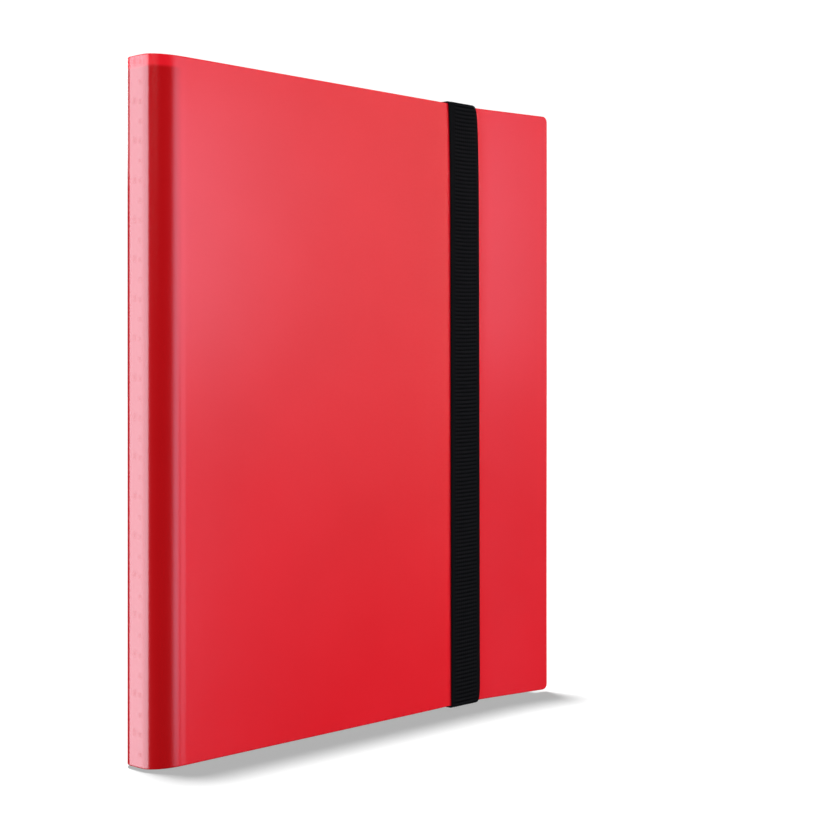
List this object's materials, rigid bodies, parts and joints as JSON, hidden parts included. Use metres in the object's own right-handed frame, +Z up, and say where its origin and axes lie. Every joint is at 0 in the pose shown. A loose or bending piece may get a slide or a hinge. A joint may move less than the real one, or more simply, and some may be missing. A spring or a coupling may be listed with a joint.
{
  "type": "trading card binder",
  "caption": "Closed pocket-page card binder with a red sheet cover, a round-cornered spine and a wide black elastic strap around it.",
  "frame": {"origin": "on the floor, under the middle of the closed binder's bounding box", "axes": "+Z up along the spine, +X from the spine to the fore edge, -Y out of the front cover"},
  "size_m": [0.26, 0.042, 0.3128],
  "materials": {
    "red_cover": "satin polypropylene sheet with a fine grain",
    "black_elastic": "ribbed woven elastic",
    "black_sheet": "satin",
    "black_page": "black polypropylene core under clear pocket film",
    "card": "coated card"
  },
  "bodies": {
    "spine": {"spine": "red_cover", "binding_block": "black_sheet"},
    "front_cover": {"front_cover": "red_cover"},
    "back_cover": {"back_cover": "red_cover", "elastic_strap": "black_elastic", "upper_strap_patch": "black_sheet", "lower_strap_patch": "black_sheet"},
    "page_01": {"page_01": "black_page"},
    "page_02": {"page_02": "black_page"},
    "page_03": {"page_03": "black_page"},
    "page_04": {"page_04": "black_page"},
    "page_05": {"page_05": "black_page"},
    "page_06": {"page_06": "black_page"},
    "page_07": {"page_07": "black_page"},
    "page_08": {"page_08": "black_page"},
    "page_09": {"page_09": "black_page"},
    "page_10": {"page_10": "black_page", "card_page10_row1_column1": "card", "card_page10_row1_column2": "card", "card_page10_row1_column3": "card", "card_page10_row2_column1": "card", "card_page10_row2_column2": "card", "card_page10_row2_column3": "card", "card_page10_row3_column1": "card", "card_page10_row3_column2": "card", "card_page10_row3_column3": "card"},
    "page_11": {"page_11": "black_page", "card_page11_row1_column1": "card", "card_page11_row1_column2": "card", "card_page11_row1_column3": "card", "card_page11_row2_column1": "card", "card_page11_row2_column2": "card", "card_page11_row2_column3": "card", "card_page11_row3_column1": "card", "card_page11_row3_column2": "card", "card_page11_row3_column3": "card"},
    "page_12": {"page_12": "black_page"},
    "page_13": {"page_13": "black_page"},
    "page_14": {"page_14": "black_page"},
    "page_15": {"page_15": "black_page"},
    "page_16": {"page_16": "black_page"},
    "page_17": {"page_17": "black_page"},
    "page_18": {"page_18": "black_page"},
    "page_19": {"page_19": "black_page"},
    "page_20": {"page_20": "black_page"}
  },
  "joints": [
    {"name": "front_cover_hinge", "type": "hinge", "parent": "spine", "child": "front_cover", "pos_m": [-0.115, -0.013, 0.1564], "axis": [0, 0, -1], "range_deg": [0, 90], "deforming": ["elastic_strap"]},
    {"name": "back_cover_hinge", "type": "hinge", "parent": "spine", "child": "back_cover", "pos_m": [-0.115, 0.013, 0.1564], "axis": [0, 0, 1], "range_deg": [0, 90]},
    {"name": "page_01_hinge", "type": "hinge", "parent": "spine", "child": "page_01", "pos_m": [-0.113, -0.01102, 0.1564], "axis": [0, 0, -1], "range_deg": [0, 89]},
    {"name": "page_02_hinge", "type": "hinge", "parent": "spine", "child": "page_02", "pos_m": [-0.1121, -0.00998, 0.1564], "axis": [0, 0, -1], "range_deg": [0, 89]},
    {"name": "page_03_hinge", "type": "hinge", "parent": "spine", "child": "page_03", "pos_m": [-0.1112, -0.00894, 0.1564], "axis": [0, 0, -1], "range_deg": [0, 89]},
    {"name": "page_04_hinge", "type": "hinge", "parent": "spine", "child": "page_04", "pos_m": [-0.1103, -0.0079, 0.1564], "axis": [0, 0, -1], "range_deg": [0, 89]},
    {"name": "page_05_hinge", "type": "hinge", "parent": "spine", "child": "page_05", "pos_m": [-0.1094, -0.00686, 0.1564], "axis": [0, 0, -1], "range_deg": [0, 89]},
    {"name": "page_06_hinge", "type": "hinge", "parent": "spine", "child": "page_06", "pos_m": [-0.1085, -0.00582, 0.1564], "axis": [0, 0, -1], "range_deg": [0, 89]},
    {"name": "page_07_hinge", "type": "hinge", "parent": "spine", "child": "page_07", "pos_m": [-0.1076, -0.00478, 0.1564], "axis": [0, 0, -1], "range_deg": [0, 89]},
    {"name": "page_08_hinge", "type": "hinge", "parent": "spine", "child": "page_08", "pos_m": [-0.1067, -0.00374, 0.1564], "axis": [0, 0, -1], "range_deg": [0, 89]},
    {"name": "page_09_hinge", "type": "hinge", "parent": "spine", "child": "page_09", "pos_m": [-0.1058, -0.0027, 0.1564], "axis": [0, 0, -1], "range_deg": [0, 89]},
    {"name": "page_10_hinge", "type": "hinge", "parent": "spine", "child": "page_10", "pos_m": [-0.1049, -0.00166, 0.1564], "axis": [0, 0, -1], "range_deg": [0, 89]},
    {"name": "page_11_hinge", "type": "hinge", "parent": "spine", "child": "page_11", "pos_m": [-0.1049, -0.00062, 0.1564], "axis": [0, 0, 1], "range_deg": [0, 89]},
    {"name": "page_12_hinge", "type": "hinge", "parent": "spine", "child": "page_12", "pos_m": [-0.1058, 0.00042, 0.1564], "axis": [0, 0, 1], "range_deg": [0, 89]},
    {"name": "page_13_hinge", "type": "hinge", "parent": "spine", "child": "page_13", "pos_m": [-0.1067, 0.00146, 0.1564], "axis": [0, 0, 1], "range_deg": [0, 89]},
    {"name": "page_14_hinge", "type": "hinge", "parent": "spine", "child": "page_14", "pos_m": [-0.1076, 0.0025, 0.1564], "axis": [0, 0, 1], "range_deg": [0, 89]},
    {"name": "page_15_hinge", "type": "hinge", "parent": "spine", "child": "page_15", "pos_m": [-0.1085, 0.00354, 0.1564], "axis": [0, 0, 1], "range_deg": [0, 89]},
    {"name": "page_16_hinge", "type": "hinge", "parent": "spine", "child": "page_16", "pos_m": [-0.1094, 0.00458, 0.1564], "axis": [0, 0, 1], "range_deg": [0, 89]},
    {"name": "page_17_hinge", "type": "hinge", "parent": "spine", "child": "page_17", "pos_m": [-0.1103, 0.00562, 0.1564], "axis": [0, 0, 1], "range_deg": [0, 89]},
    {"name": "page_18_hinge", "type": "hinge", "parent": "spine", "child": "page_18", "pos_m": [-0.1112, 0.00666, 0.1564], "axis": [0, 0, 1], "range_deg": [0, 89]},
    {"name": "page_19_hinge", "type": "hinge", "parent": "spine", "child": "page_19", "pos_m": [-0.1121, 0.0077, 0.1564], "axis": [0, 0, 1], "range_deg": [0, 89]},
    {"name": "page_20_hinge", "type": "hinge", "parent": "spine", "child": "page_20", "pos_m": [-0.113, 0.00874, 0.1564], "axis": [0, 0, 1], "range_deg": [0, 89]}
  ],
  "couplings": [
    {"joint": "back_cover_hinge", "follows": "front_cover_hinge", "ratio": 1},
    {"joint": "page_01_hinge", "follows": "front_cover_hinge", "ratio": 0.98333},
    {"joint": "page_02_hinge", "follows": "front_cover_hinge", "ratio": 0.97667},
    {"joint": "page_03_hinge", "follows": "front_cover_hinge", "ratio": 0.97},
    {"joint": "page_04_hinge", "follows": "front_cover_hinge", "ratio": 0.96333},
    {"joint": "page_05_hinge", "follows": "front_cover_hinge", "ratio": 0.95667},
    {"joint": "page_06_hinge", "follows": "front_cover_hinge", "ratio": 0.95},
    {"joint": "page_07_hinge", "follows": "front_cover_hinge", "ratio": 0.94333},
    {"joint": "page_08_hinge", "follows": "front_cover_hinge", "ratio": 0.93667},
    {"joint": "page_09_hinge", "follows": "front_cover_hinge", "ratio": 0.93},
    {"joint": "page_10_hinge", "follows": "front_cover_hinge", "ratio": 0.92333},
    {"joint": "page_11_hinge", "follows": "front_cover_hinge", "ratio": 0.92333},
    {"joint": "page_12_hinge", "follows": "front_cover_hinge", "ratio": 0.93},
    {"joint": "page_13_hinge", "follows": "front_cover_hinge", "ratio": 0.93667},
    {"joint": "page_14_hinge", "follows": "front_cover_hinge", "ratio": 0.94333},
    {"joint": "page_15_hinge", "follows": "front_cover_hinge", "ratio": 0.95},
    {"joint": "page_16_hinge", "follows": "front_cover_hinge", "ratio": 0.95667},
    {"joint": "page_17_hinge", "follows": "front_cover_hinge", "ratio": 0.96333},
    {"joint": "page_18_hinge", "follows": "front_cover_hinge", "ratio": 0.97},
    {"joint": "page_19_hinge", "follows": "front_cover_hinge", "ratio": 0.97667},
    {"joint": "page_20_hinge", "follows": "front_cover_hinge", "ratio": 0.98333}
  ]
}
